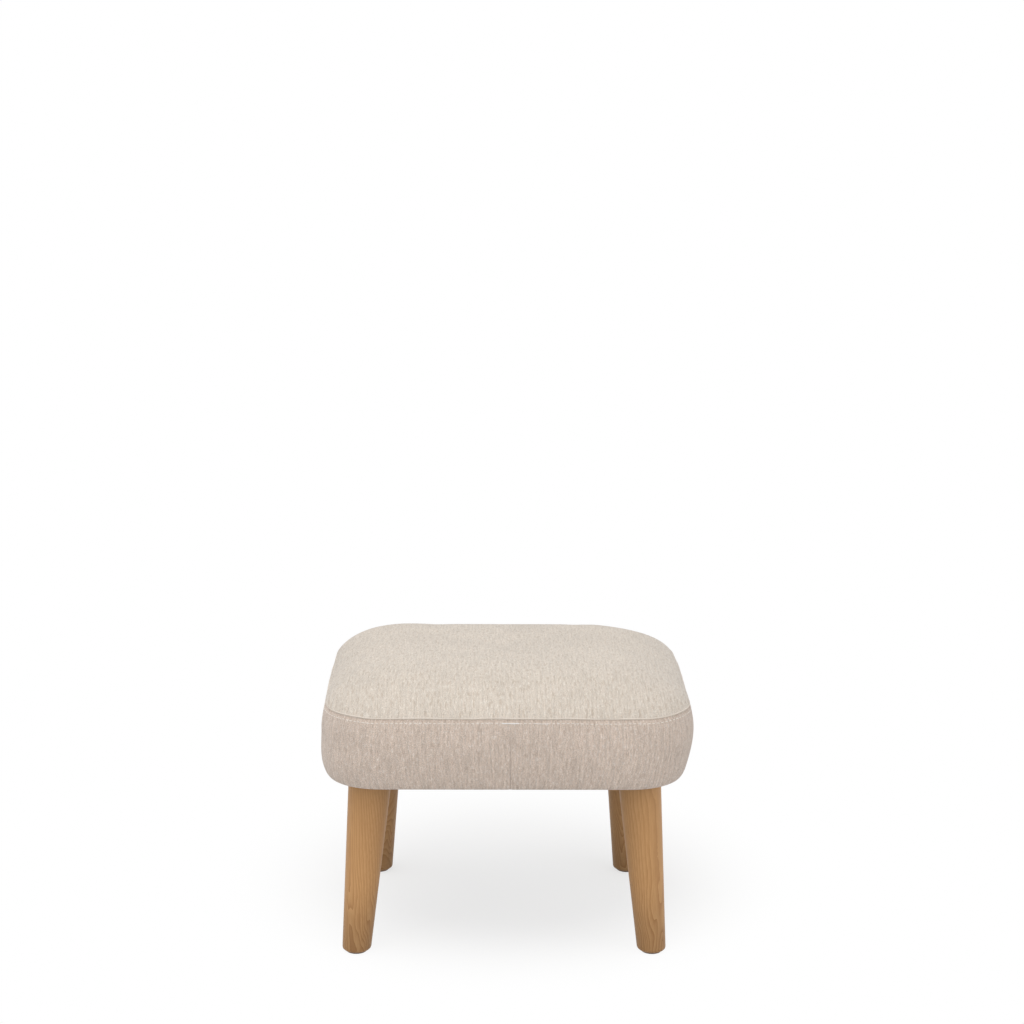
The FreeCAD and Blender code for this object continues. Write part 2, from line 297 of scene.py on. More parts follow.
topCloth = chenilleCloth("chenilleTop", chenille["top"])
bandCloth = chenilleCloth("chenilleBand", chenille["band"])
pineRail = plainFinish("sawnPine", "#d9bd8e", "#b98f5c", 60, 0.75, stretch=(0.5, 0.5, 6))
pineSide = plainFinish("sawnPineSide", "#d6b988", "#b58b59", 60, 0.75, stretch=(6, 0.5, 0.5))
birchPly = plainFinish("birchPlywood", "#dcc59c", "#c2a373", 40, 0.6, stretch=(0.4, 4, 1))
beechBlock = plainFinish("planedBeech", "#cda477", "#b5875a", 70, 0.6, stretch=(3, 3, 0.5))
zincSteel = plainFinish("zincPlatedSteel", "#c9ccd0", "#aeb2b8", 220, 0.32, metallic=1.0,
                        bumpDistance=0.00005)
glidePlastic = plainFinish("mouldedPolyethylene", "#6d5138", "#634830", 350, 0.45, bumpDistance=0.00005)
foamStuff = plainFinish("polyetherFoam", "#efe6c9", "#e2d6b2", 900, 0.95, bumpDistance=0.0006)
waddingStuff = plainFinish("polyesterWadding", "#f4f4f1", "#e6e6e2", 260, 1.0, bumpDistance=0.0012)
dustCloth = plainFinish("spunbondPolypropylene", "#3a3836", "#2c2a29", 700, 0.9)
threadStuff = plainFinish("polyesterThread", "#f8f3ec", "#e8dfd4", 1500, 0.6, bumpDistance=0.0001)
# painted highlight: the fold is the same chenille made paler, for the light line along the seam
foldHighlightCloth = plainFinish("chenilleFoldPaintedHighlight", "#e9e0d5", "#dccfc1", 900, 0.9, bumpDistance=0.0001)
tackThread = plainFinish("whitePolyesterThread", "#fbfaf8", "#efece8", 1500, 0.55, bumpDistance=0.0001)
print("materials made")

photoView = {
    "focal": 1887.1, "frameWidth": 1024,      # pixels
    "horizonAbove": 362,                      # the horizon lies this many pixels above the middle
    "aside": 0.0083, "back": 2.3105, "height": 0.9657,
    "heading": -0.01196, "roll": 0.0055,
    "sensorWidth": 36, "clipEnd": 60,
}
cameraData = bpy.data.cameras.new("photoCamera")
camera = bpy.data.objects.new("photoCamera", cameraData)
bpy.context.scene.collection.objects.link(camera)
cameraData.sensor_width = photoView["sensorWidth"]
cameraData.lens = photoView["sensorWidth"] * photoView["focal"] / photoView["frameWidth"]
cameraData.clip_end = photoView["clipEnd"]
tilt = math.atan(photoView["horizonAbove"] / photoView["focal"])
stand = Matrix.Translation((photoView["aside"], -photoView["back"], photoView["height"]))
camera.matrix_world = (Matrix.Rotation(photoView["heading"], 4, "Z") @ stand
                       @ Matrix.Rotation(math.pi / 2 - tilt, 4, "X")
                       @ Matrix.Rotation(photoView["roll"], 4, "Z"))
bpy.context.scene.camera = camera
bpy.context.scene.view_settings.view_transform = "Standard"

studio = {
    "worldStrength": 0.55, "aim": (0, 0, 0.2),
    "topLight": (2.4, 29, (-0.5, -0.4, 2.6)),      # size, power, place
    "frontLight": (2.6, 17, (-1.6, -2.6, 1.5)),
    "rightLight": (2.0, 13, (2.4, -1.4, 0.8)),
    "floorSize": 40, "floorColour": "#d6d6d6", "floorRoughness": 0.9, "floorGloss": 0.1,
    "shadowWhite": 0.69,      # how much of the shadow the camera sees as plain white
    "shadowMiddle": (0, 0.13, 0), "shadowNear": 0.16, "shadowFar": 0.40,      # where it fades out
}


def areaLight(name, size, power, place):
    lampData = bpy.data.lights.new(name, "AREA")
    lampData.shape = "SQUARE"
    lampData.size = size
    lampData.energy = power
    lamp = bpy.data.objects.new(name, lampData)
    bpy.context.scene.collection.objects.link(lamp)
    turn = (Vector(studio["aim"]) - Vector(place)).to_track_quat("-Z", "Y")
    lamp.matrix_world = Matrix.Translation(place) @ turn.to_matrix().to_4x4()


for lightName in ("topLight", "frontLight", "rightLight"):
    areaLight(lightName, *studio[lightName])


def eitherRay(tree, first, second):
    return addNode(tree, "ShaderNodeMath", {"operation": "MAXIMUM"}, {0: first, 1: second}).outputs[0]


# the world is white where it is seen and weaker where it only lights
world = bpy.data.worlds.new("studioWorld")
bpy.context.scene.world = world
world.use_nodes = True
worldTree = world.node_tree
background = next(n for n in worldTree.nodes if n.type == "BACKGROUND")
background.inputs["Color"].default_value = (1, 1, 1, 1)
rays = addNode(worldTree, "ShaderNodeLightPath").outputs
seen = eitherRay(worldTree, rays["Is Camera Ray"], rays["Is Glossy Ray"])
seen = eitherRay(worldTree, seen, rays["Is Transmission Ray"])
strength = ranged(worldTree, seen, 0, 1, studio["worldStrength"], 1.0)
worldTree.links.new(strength, background.inputs["Strength"])

deselectAll()
bpy.ops.mesh.primitive_plane_add(size=studio["floorSize"], location=(0, 0, 0))
floor = bpy.context.object
floor.name = "studioFloor"
floorPaint, floorTree, floorShader = newMaterial("studioFloorPaint")
floorShader.inputs["Base Color"].default_value = linear(studio["floorColour"])
floorShader.inputs["Roughness"].default_value = studio["floorRoughness"]
floorShader.inputs["Specular IOR Level"].default_value = studio["floorGloss"]
floorRays = addNode(floorTree, "ShaderNodeLightPath").outputs
floorGlow = addNode(floorTree, "ShaderNodeEmission", inputs={"Color": (1, 1, 1, 1), "Strength": 1.0})
floorPale = addNode(floorTree, "ShaderNodeBsdfDiffuse", inputs={"Color": (1, 1, 1, 1)})
floorSeen = eitherRay(floorTree, floorRays["Is Camera Ray"], floorRays["Is Glossy Ray"])
floorPlace = addNode(floorTree, "ShaderNodeTexCoord").outputs["Object"]
floorAway = addNode(floorTree, "ShaderNodeVectorMath", {"operation": "DISTANCE"},
                    {0: floorPlace, 1: studio["shadowMiddle"]}).outputs["Value"]
floorWhite = ranged(floorTree, floorAway, studio["shadowNear"], studio["shadowFar"],
                    studio["shadowWhite"], 1.0, "SMOOTHSTEP")
floorLook = addNode(floorTree, "ShaderNodeMixShader",
                    inputs={0: floorWhite, 1: floorPale.outputs[0], 2: floorGlow.outputs[0]})
floorMix = addNode(floorTree, "ShaderNodeMixShader",
                   inputs={0: floorSeen, 1: floorShader.outputs[0], 2: floorLook.outputs[0]})
floorOutput = next(n for n in floorTree.nodes if n.type == "OUTPUT_MATERIAL")
floorTree.links.new(floorMix.outputs[0], floorOutput.inputs["Surface"])
floor.data.materials.append(floorPaint)
print("camera, light and floor placed")

cushion = {
    "width": 0.450, "depth": 0.376, "cornerRadius": 0.076, "cornerSoftening": 0.4, "leastRadius": 0.004,
    "halvings": 22,
    "hemLevel": 0.2206, "widestLevel": 0.2786, "seamLevel": 0.3096, "crownRise": 0.0413,
    "lowerDrawIn": 0.013, "seamDrawIn": 0.0045, "hemInset": 0.029,
    "crownSharpness": 4.2, "crownEdge": 0.76,
    "columnsAcross": 68, "columnsDeep": 56, "columnCrowding": 1.45,
    "upperRings": 6, "lowerRings": 10, "hemShares": (0.35, 0.7, 1.0),
    "lipOut": 0.0006, "lipRise": 0.0009, "valleyIn": 0.0016, "valleyDrop": 0.0004, "bandStart": 0.0024,
    "bow": 0.0015, "bowReach": 0.150, "bowFull": 0.2,
    "leanRight": 0.0026, "leanLevels": (0.235, 0.277, 0.318, 0.345),      # rises, full, holds, ends
    "leanFrom": 0.10, "leanOver": 0.08, "frontCornerLean": 1.5, "frontCornerReach": 0.13,
    "fuller": ((-0.165, 0.150, 0.085, (-0.0008, 0.0008, 0.0024)),      # x, y, reach, push
               (0.160, 0.168, 0.065, (-0.0010, -0.0036, -0.0032)),
               (0.215, 0.060, 0.095, (0.0016, 0, 0))),
    "fullerAbove": 0.30, "fullerOver": 0.012,
    "clothThickness": 0.0012,
    "frames": 20, "share": 0.3, "cap": 0.0022,      # part of the simulated swelling kept, and its limit
    "bandSeamX": 0.006, "bandSeamReach": 0.003, "bandSeamBeyond": 0.1,
    "bandSeamIn": (0.0004, 0.0005),      # drawn in at the top, and more at the hem
    "bandSeamApart": (0.00004, 0.00013),
}
topFaces, leftFaces, rightFaces, capFaces = range(4)
smoothAngles = {"cloth": 60, "sheet": 50, "filling": 40}
clothSettings = {
    "quality": 6, "mass": 0.3, "tension_stiffness": 15, "compression_stiffness": 15,
    "shear_stiffness": 5, "bending_stiffness": 0.8, "use_pressure": True, "uniform_pressure_force": 4,
    "shrink_min": -0.012, "vertex_group_mass": "sewn", "pin_stiffness": 1.0,
}


def planSize(inset, crown):
    # half width, half depth and corner radius; above the seam the corners stay rounder
    seam = cushion["seamDrawIn"]
    radius = cushion["cornerRadius"] - inset
    if crown:
        radius = cushion["cornerRadius"] - seam - cushion["cornerSoftening"] * (inset - seam)
    a, b = cushion["width"] / 2 - inset, cushion["depth"] / 2 - inset
    return a, b, min(max(radius, cushion["leastRadius"]), a * 0.999, b * 0.999)


def planPoint(gx, gy, inset, crown=False):
    # a place on the edge of a 2 x 2 square becomes a place on the cushion's outline at that inset
    a, b, r = planSize(inset, crown)
    sx, sy = (1 if gx >= 0 else -1), (1 if gy >= 0 else -1)
    if abs(gx) >= abs(gy):
        walk = abs(gy) * (b - r + r * math.pi / 4)
        if walk <= b - r:
            return Vector((sx * a, sy * walk))
        turn = (walk - (b - r)) / r
        return Vector((sx * (a - r + r * math.cos(turn)), sy * (b - r + r * math.sin(turn))))
    walk = abs(gx) * (a - r + r * math.pi / 4)
    if walk <= a - r:
        return Vector((sx * walk, sy * b))
    turn = (walk - (a - r)) / r
    return Vector((sx * (a - r + r * math.sin(turn)), sy * (b - r + r * math.cos(turn))))


def roundTheOutline(count, inset):
    places = []
    for i in range(count):
        turn = 8 * i / count
        side, along = int(turn // 2), turn % 2 - 1
        gx, gy = ((1, along), (-along, 1), (-1, -along), (along, -1))[side]
        places.append(planPoint(gx, gy, inset))
    return places


def insetAt(x, y):
    # which of the crown's outlines passes through this place, found by halving
    low, high = cushion["seamDrawIn"] * 0.5, cushion["depth"] / 2
    for step in range(cushion["halvings"]):
        middle = (low + high) / 2
        a, b, r = planSize(middle, True)
        dx, dy = max(abs(x) - (a - r), 0), max(abs(y) - (b - r), 0)
        inside = math.hypot(dx, dy) <= r if dx > 0 and dy > 0 else abs(x) <= a and abs(y) <= b
        if inside:
            low = middle
        else:
            high = middle
    return low


def bowed(x, y):
    # the right wall is a little fuller at its middle
    if x < 0:
        return x
    share = min(abs(y) / cushion["bowReach"], 1)
    return x + cushion["bow"] * (1 - share * share) ** 2 * min(x / cushion["bowFull"], 1)


def settled(p):
    # a stuffed cover is never quite even: it leans a little to the right and is fuller in places
    low, full, hold, end = cushion["leanLevels"]
    rise = clamped((p.z - low) / (full - low))
    fall = 1 - clamped((p.z - hold) / (end - hold))
    share = eased(rise) * eased(fall)
    edge = clamped((abs(p.x) - cushion["leanFrom"]) / cushion["leanOver"])
    if p.x < 0:
        reach = cushion["frontCornerReach"]
        edge *= cushion["frontCornerLean"] * (1 - clamped((p.y + reach) / reach))
    moved = p + Vector((cushion["leanRight"] * share * edge, 0, 0))
    for x, y, reach, push in cushion["fuller"]:
        away = Vector((p.x - x, p.y - y, 0)).length / reach
        above = p.z - cushion["fullerAbove"]
        if away < 1 and above > 0:
            moved += Vector(push) * (1 - away * away) ** 2 * min(above / cushion["fullerOver"], 1)
    return moved


def crownLevel(inset):
    reach = cushion["depth"] / 2 - cushion["seamDrawIn"]
    share = clamped((inset - cushion["seamDrawIn"]) / reach)
    roundness = (1 - (1 - share) ** cushion["crownSharpness"]) ** cushion["crownEdge"]
    return cushion["seamLevel"] + cushion["crownRise"] * roundness


def squareEdge(v):
    s = max(abs(v[0]), abs(v[1]))
    return (v[0] / s, v[1] / s) if s > 1e-9 else (1.0, 0.0)


def bandSections():
    # insets and levels from the seam's valley down to the hem's inner edge
    seam, level, widest = cushion["seamDrawIn"], cushion["seamLevel"], cushion["widestLevel"]
    drawIn, hem = cushion["lowerDrawIn"], cushion["hemLevel"]
    rows = [(seam + cushion["valleyIn"], level - cushion["valleyDrop"])]
    top = level - cushion["bandStart"]
    for i in range(cushion["upperRings"]):
        u = 1 - i / cushion["upperRings"]
        z = widest + (top - widest) * u
        rows.append((seam * ((z - widest) / (level - widest)) ** 2, z))
    for i in range(cushion["lowerRings"] + 1):
        a = math.pi / 2 * i / cushion["lowerRings"]
        rows.append((drawIn * (1 - math.cos(a)), widest - (widest - hem) * math.sin(a)))
    for share in cushion["hemShares"]:
        rows.append((drawIn + (cushion["hemInset"] - drawIn) * share, hem))
    return rows


def walkAlong(outline, start, end, step):
    # distance of each column from the band's front seam, counted down leftwards
    i, total = start, 0.0
    walk = {start: 0.0}
    while i != end:
        j = (i + step) % len(outline)
        total += step * (outline[j] - outline[i]).length
        walk[j] = total
        i = j
    return walk


def makeCoverForm():
    # a grid is laid out as the top panel, then its edge is drawn out ring by ring into the band and hem
    deselectAll()
    bpy.ops.mesh.primitive_grid_add(x_subdivisions=cushion["columnsAcross"],
                                    y_subdivisions=cushion["columnsDeep"], size=2, calc_uvs=False)
    form = bpy.context.object
    form.name = "coverForm"
    mesh = bmesh.new()
    mesh.from_mesh(form.data)
    weave = mesh.loops.layers.uv.new("weave")
    rim = []
    for v in mesh.verts:
        s = max(abs(v.co.x), abs(v.co.y))
        edge = squareEdge(v.co)
        flat = (planPoint(edge[0], edge[1], cushion["seamDrawIn"], True)
                * (1 - (1 - s) ** cushion["columnCrowding"]))
        if s > 0.9999:
            rim.append((math.atan2(v.co.y, v.co.x), edge, v))
        v.co = (bowed(flat.x, flat.y), flat.y, crownLevel(insetAt(flat.x, flat.y)))
    for face in mesh.faces:
        face.material_index = topFaces
        for loop in face.loops:
            loop[weave].uv = (loop.vert.co.x, loop.vert.co.y)
    rim.sort(key=lambda entry: entry[0])
    edges = [edge for angle, edge, v in rim]
    rim = [v for angle, edge, v in rim]
    last = (cushion["seamDrawIn"] - cushion["lipOut"], cushion["seamLevel"] + cushion["lipRise"])
    for v, edge in zip(rim, edges):      # the folded lip of the top panel
        flat = planPoint(edge[0], edge[1], last[0])
        v.co = (bowed(flat.x, flat.y), flat.y, last[1])

    count = len(rim)
    widest = [planPoint(e[0], e[1], 0) for e in edges]
    frontSeam, backSeam = (
        min(range(count), key=lambda i: (widest[i] - Vector((cushion["bandSeamX"], y))).length)
        for y in (-cushion["depth"] / 2, cushion["depth"] / 2))
    rightWalk = walkAlong(widest, frontSeam, backSeam, 1)
    leftWalk = walkAlong(widest, frontSeam, backSeam, -1)

    rings = [rim]
    downs = [0.0]
    for inset, level in bandSections():
        downs.append(downs[-1] + math.hypot(inset - last[0], level - last[1]))
        last = (inset, level)
        ring = []
        for edge in edges:
            flat = planPoint(edge[0], edge[1], inset)
            ring.append(mesh.verts.new((bowed(flat.x, flat.y), flat.y, level)))
        rings.append(ring)
    for k in range(len(rings) - 1):
        for i in range(count):
            j = (i + 1) % count
            face = mesh.faces.new((rings[k][i], rings[k + 1][i], rings[k + 1][j], rings[k][j]))
            right = (i - frontSeam) % count < (backSeam - frontSeam) % count
            face.material_index = topFaces if k == 0 else (rightFaces if right else leftFaces)
            walk = rightWalk if right else leftWalk
            for loop in face.loops:
                row = k if loop.vert in (rings[k][i], rings[k][j]) else k + 1
                column = i if loop.vert in (rings[k][i], rings[k + 1][i]) else j
                place = loop.vert.co if k == 0 else (walk[column], -downs[row])
                loop[weave].uv = (place[0], place[1])
    cap = mesh.faces.new(list(reversed(rings[-1])))
    cap.material_index = capFaces
    mesh.verts.index_update()
    hemRings = rings[-len(cushion["hemShares"]) - 1:]
    held = [v.index for ring in [rings[1]] + hemRings for v in ring]
    bmesh.ops.recalc_face_normals(mesh, faces=mesh.faces)
    form.data.materials.clear()
    for slotIndex in range(4):
        form.data.materials.append(None)
    mesh.to_mesh(form.data)
    mesh.free()
    form.vertex_groups.new(name="sewn").add(held, 1.0, "REPLACE")
    return form


def swell(form):
    # pressure fills the cover between its sewn lines; a point moves no further than the cap
    start = [v.co.copy() for v in form.data.vertices]
    cloth = form.modifiers.new("fill", "CLOTH")
    for key, value in clothSettings.items():
        setattr(cloth.settings, key, value)
    cloth.settings.effector_weights.gravity = 0
    cloth.collision_settings.use_collision = False
    cloth.point_cache.frame_start = 1
    cloth.point_cache.frame_end = cushion["frames"]
    scene = bpy.context.scene
    for f in range(1, cushion["frames"] + 1):
        scene.frame_set(f)
    result = form.evaluated_get(bpy.context.evaluated_depsgraph_get())
    places = [v.co.copy() for v in result.data.vertices]
    moves = []
    for v, before, after in zip(form.data.vertices, start, places):
        move = (after - before) * cushion["share"]
        inwards = move.dot(v.normal)
        if inwards < 0:      # the filling is there, so the cloth gives no way
            move -= v.normal * inwards
        if move.length > cushion["cap"]:
            move *= cushion["cap"] / move.length
        moves.append(move.length)
        v.co = before + move
    form.modifiers.remove(cloth)
    scene.frame_set(1)
    form.data.update()
    print("cover filled: widest move", round(max(moves) * 1000, 1), "mm")


def selectFaces(piece, wanted):
    pick(piece)
    bpy.ops.object.mode_set(mode="EDIT")
    bpy.ops.mesh.select_mode(type="FACE")
    bpy.ops.mesh.select_all(action="DESELECT")
    bpy.ops.object.mode_set(mode="OBJECT")
    for face in piece.data.polygons:
        face.select = face.material_index == wanted
    bpy.ops.object.mode_set(mode="EDIT")


def splitOff(piece, index, name):
    before = set(bpy.data.objects)
    selectFaces(piece, index)
    bpy.ops.mesh.separate(type="SELECTED")
    bpy.ops.object.mode_set(mode="OBJECT")
    part = next(o for o in bpy.data.objects if o not in before)
    part.name = name
    part.data.name = name
    return part


coverForm = makeCoverForm()
swell(coverForm)
selectFaces(coverForm, capFaces)
bpy.ops.mesh.delete(type="ONLY_FACE")
bpy.ops.object.mode_set(mode="OBJECT")
finer = coverForm.modifiers.new("finer", "SUBSURF")
finer.levels = finer.render_levels = 1
applyAll(coverForm)
for v in coverForm.data.vertices:
    v.co = settled(v.co)
coverForm.data.update()
coverTree = BVHTree.FromPolygons([v.co.copy() for v in coverForm.data.vertices],
                                 [tuple(f.vertices) for f in coverForm.data.polygons])
coverPieces = [
    (splitOff(coverForm, topFaces, "topPanel"), topCloth, "top_panel"),
    (splitOff(coverForm, leftFaces, "sideBandLeft"), bandCloth, "side_band_left"),
    (splitOff(coverForm, rightFaces, "sideBandRight"), bandCloth, "side_band_right"),
]
bpy.data.objects.remove(coverForm)


def drawInBandSeam(piece, side):
    # the two halves meet in a plain upright seam, pulled in more towards the hem
    mesh = bmesh.new()
    mesh.from_mesh(piece.data)
    inTop, inLower = cushion["bandSeamIn"]
    apartTop, apartLower = cushion["bandSeamApart"]
    for v in mesh.verts:
        near = abs(v.co.x - cushion["bandSeamX"]) < cushion["bandSeamReach"]
        if v.is_boundary and near and abs(v.co.y) > cushion["bandSeamBeyond"]:
            low = clamped((cushion["seamLevel"] - v.co.z) / (cushion["seamLevel"] - cushion["hemLevel"]))
            v.co.y -= math.copysign(inTop + inLower * low, v.co.y)
            v.co.x += side * (apartTop + apartLower * low * low)
    mesh.to_mesh(piece.data)
    mesh.free()


drawInBandSeam(coverPieces[1][0], -1)
drawInBandSeam(coverPieces[2][0], 1)
for piece, material, node in coverPieces:
    piece.data.materials.clear()
    piece.data.materials.append(material)
    for face in piece.data.polygons:
        face.material_index = 0
    piece.vertex_groups.clear()
    thick = piece.modifiers.new("thick", "SOLIDIFY")
    thick.thickness = cushion["clothThickness"]
    thick.offset = -1
    applyAll(piece)
    smooth(piece, smoothAngles["cloth"])
    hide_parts(node)
    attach(piece, "root")
print("cover made")

sewing = {
    "seamSteps": 2400, "castFrom": 0.03, "wanderScale": 28,
    "foldRadius": 0.00085, "foldSpacing": 0.0026, "foldLevel": 0.0010, "foldWander": 0.0010,
    "foldSunk": 0.35, "foldUneven": 0.25, "foldSides": 8,
    "foldNoise": 60, "stitchNoise": 500, "tackNoise": 900,
    "stitchDrop": 0.0046, "stitchPitch": 0.0056, "stitchLong": 0.0041, "stitchRadius": 0.00047,
    "stitchSlant": 0.10, "stitchUneven": 0.18,
    # a stitch from end to end: place along it, width, lift off the cloth
    "stitchForm": ((-0.5, 0.35, -0.9), (-0.3, 0.9, 0.1), (0, 1.0, 0.45),
                   (0.3, 0.9, 0.1), (0.5, 0.35, -0.9)),
    "threadTurns": (0, 1.047, 2.094, 3.142, 4.189, 5.236),
    # where the seam was sewn over: from, to, thread radius
    "backTacks": ((-0.0105, 0.0084, 0.00068), (0.029, 0.0455, 0.00034)),
    "tackPitch": 0.0014, "tackLong": 0.0026, "tackSlant": 0.22, "tackSpread": 0.0002, "tackClear": 0.001,
}


def roundTheSeam(spacing, drop):
    # evenly spaced places on the cloth round the seam, with their way along it from the front band seam
    path = [Vector((bowed(flat.x, flat.y), flat.y, 0))
            for flat in roundTheOutline(sewing["seamSteps"], cushion["seamDrawIn"])]
    start = Vector((cushion["bandSeamX"], -cushion["depth"] / 2, 0))
    first = min(range(len(path)), key=lambda i: (path[i] - start).length)
    path = path[first:] + path[:first]
    lengths = [0.0]
    for i in range(len(path)):
        lengths.append(lengths[-1] + (path[(i + 1) % len(path)] - path[i]).length)
    total = lengths[-1]
    count = round(total / spacing)
    stations = []
    k = 0
    for i in range(count):
        want = total * i / count
        while lengths[k + 1] < want:
            k += 1
        share = (want - lengths[k]) / max(lengths[k + 1] - lengths[k], 1e-9)
        here, there = path[k], path[(k + 1) % len(path)]
        place = here.lerp(there, share)
        along = (there - here).normalized()
        outwards = Vector((along.y, -along.x, 0))
        spot = Vector((place.x * sewing["wanderScale"], place.y * sewing["wanderScale"], 3.7))
        level = cushion["seamLevel"] - drop + sewing["foldWander"] * noise.noise(spot)
        aim = Vector((place.x, place.y, level)) + outwards * sewing["castFrom"]
        hit = coverTree.ray_cast(aim, -outwards)[0]
        if hit is not None:
            stations.append((hit, outwards, along, want if want < total / 2 else want - total))
    return stations


def joinRings(mesh, rings, closed=False):
    # a tube through rings of vertices, closed on itself or capped at both ends
    sides = len(rings[0])
    for first, second in zip(rings, rings[1:] + rings[:1] if closed else rings[1:]):
        for i in range(sides):
            mesh.faces.new((first[i], first[(i + 1) % sides], second[(i + 1) % sides], second[i]))
    if not closed:
        mesh.faces.new(rings[0])
        mesh.faces.new(rings[-1])


def meshPiece(name, mesh, material):
    data = bpy.data.meshes.new(name)
    bmesh.ops.recalc_face_normals(mesh, faces=mesh.faces)
    mesh.to_mesh(data)
    mesh.free()
    piece = bpy.data.objects.new(name, data)
    bpy.context.scene.collection.objects.link(piece)
    data.materials.append(material)
    smooth(piece, smoothAngles["cloth"])
    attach(piece, "root")


def makeSeamFold():
    # the turned edge of the top panel, a thin roll that catches the light; its paler cloth adds a
    # painted highlight
    mesh = bmesh.new()
    turns = [2 * math.pi * i / sewing["foldSides"] for i in range(sewing["foldSides"])]
    rings = []
    for place, outwards, along, distance in roundTheSeam(sewing["foldSpacing"], -sewing["foldLevel"]):
        centre = place - outwards * sewing["foldRadius"] * sewing["foldSunk"]
        unevenness = sewing["foldUneven"] * noise.noise(place * sewing["foldNoise"])
        size = sewing["foldRadius"] * (1 + unevenness)
        rings.append([mesh.verts.new(centre + outwards * size * math.cos(t)
                                     + Vector((0, 0, size * math.sin(t)))) for t in turns])
    joinRings(mesh, rings, closed=True)
    meshPiece("seamFold", mesh, foldHighlightCloth)


def addThread(mesh, place, outwards, along, length, radius):
    # one stitch: a short thread, thinner and tucked in at both ends
    upwards = along.cross(outwards)
    rings = []
    for share, width, lift in sewing["stitchForm"]:
        centre = place + along * length * share + outwards * radius * lift
        spokes = [outwards * math.cos(t) + upwards * math.sin(t) for t in sewing["threadTurns"]]
        rings.append([mesh.verts.new(centre + spoke * radius * width) for spoke in spokes])
    joinRings(mesh, rings)


def slanted(along, slant):
    return (along + Vector((0, 0, slant))).normalized()


def makeTopstitch():
    mesh = bmesh.new()
    clear = sewing["tackClear"]
    for place, outwards, along, distance in roundTheSeam(sewing["stitchPitch"], sewing["stitchDrop"]):
        if any(low - clear < distance < high + clear for low, high, radius in sewing["backTacks"]):
            continue
        wobble = noise.noise(place * sewing["stitchNoise"])
        addThread(mesh, place, outwards, slanted(along, sewing["stitchSlant"] * wobble),
                  sewing["stitchLong"] * (1 + sewing["stitchUneven"] * wobble), sewing["stitchRadius"])
    meshPiece("topstitch", mesh, threadStuff)


def makeBackTacks():
    mesh = bmesh.new()
    for place, outwards, along, distance in roundTheSeam(sewing["tackPitch"], sewing["stitchDrop"]):
        for low, high, radius in sewing["backTacks"]:
            if low <= distance <= high:
                wobble = noise.noise(place * sewing["tackNoise"])
                addThread(mesh, place + Vector((0, 0, sewing["tackSpread"] * wobble)), outwards,
                          slanted(along, sewing["tackSlant"] * wobble), sewing["tackLong"], radius)
    meshPiece("backTacks", mesh, tackThread)


makeSeamFold()
makeTopstitch()
makeBackTacks()
print("seam sewn")


def fromNode(name, node, material):
    # the filling keeps the solid's form; its loose triangles are merged first
    piece = nodes[node].copy()
    piece.data = nodes[node].data.copy()
    piece.name = name
    piece.parent = None
    for key in list(piece.keys()):
        del piece[key]
    bpy.context.scene.collection.objects.link(piece)
    faceOutwards(piece, tuck["mergeDistance"])
    piece.data.materials.clear()
    piece.data.materials.append(material)
    smooth(piece, smoothAngles["filling"])
    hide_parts(node)
    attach(piece, "root")
    return piece


tuck = {"hemFlatness": 0.7, "hemBelow": 0.24, "mergeDistance": 0.00001}


def tuckUnder(piece, outerDepth, innerDepth):
    # the filling lies under the finished cover: each face keeps its own depth below the cloth
    for v in piece.data.vertices:
        place, normal = coverTree.find_nearest(v.co)[:2]
        if place is None or abs(normal.z) > tuck["hemFlatness"] and v.co.z < tuck["hemBelow"]:
            continue
        depth = (place - v.co).dot(normal)
        wanted = outerDepth if v.normal.dot(normal) > 0 else innerDepth
        if depth < wanted:
            v.co -= normal * (wanted - depth)
    piece.data.update()


fillings = {      # solid, material, slot, least depth under the cover of its outer and inner faces
    "foamBlock": ("foam_block", foamStuff, "foam", 0.0056, 0.0056),
    "borderFoam": ("border_foam", foamStuff, "foam", 0.0056, 0.0056),
    "waddingWrap": ("wadding", waddingStuff, "wadding", 0.0024, 0.0050),
}
for name, (node, material, slotName, outerDepth, innerDepth) in fillings.items():
    piece = fromNode(name, node, material)
    tuckUnder(piece, outerDepth, innerDepth)

dustSheet = {
    "rimInner": 0.0293, "rimOuter": 0.0160, "rimLevel": 0.2200, "plateRise": 0.0011, "thickness": 0.0006,
    "stepAfter": 0.0008, "stepOver": 0.0045,
    "columns": 56, "rows": 46, "columnCrowding": 1.25, "wrinkle": 0.00035, "wrinkleScale": 26,
}
staple = {
    "inset": 0.0215, "apart": 0.038, "steps": 1600, "swerve": 0.12, "length": 0.0105, "wire": 0.0006,
    "sunk": 0.0002,
    # along in half lengths and down in wires; the section across and up in wires
    "bends": ((-1, 0), (-0.94, 1.1), (-0.8, 1.5), (0.8, 1.5), (0.94, 1.1), (1, 0)),
    "section": ((-0.5, 1), (0.5, 1), (0.5, 0.3), (0.2, 0), (-0.2, 0), (-0.5, 0.3)),
}


def insideBy(x, y):
    # distance from the cushion's widest outline, measured square to it
    a, b, r = planSize(0, False)
    dx, dy = abs(x) - (a - r), abs(y) - (b - r)
    return r - math.hypot(dx, dy) if dx > 0 and dy > 0 else min(a - abs(x), b - abs(y))


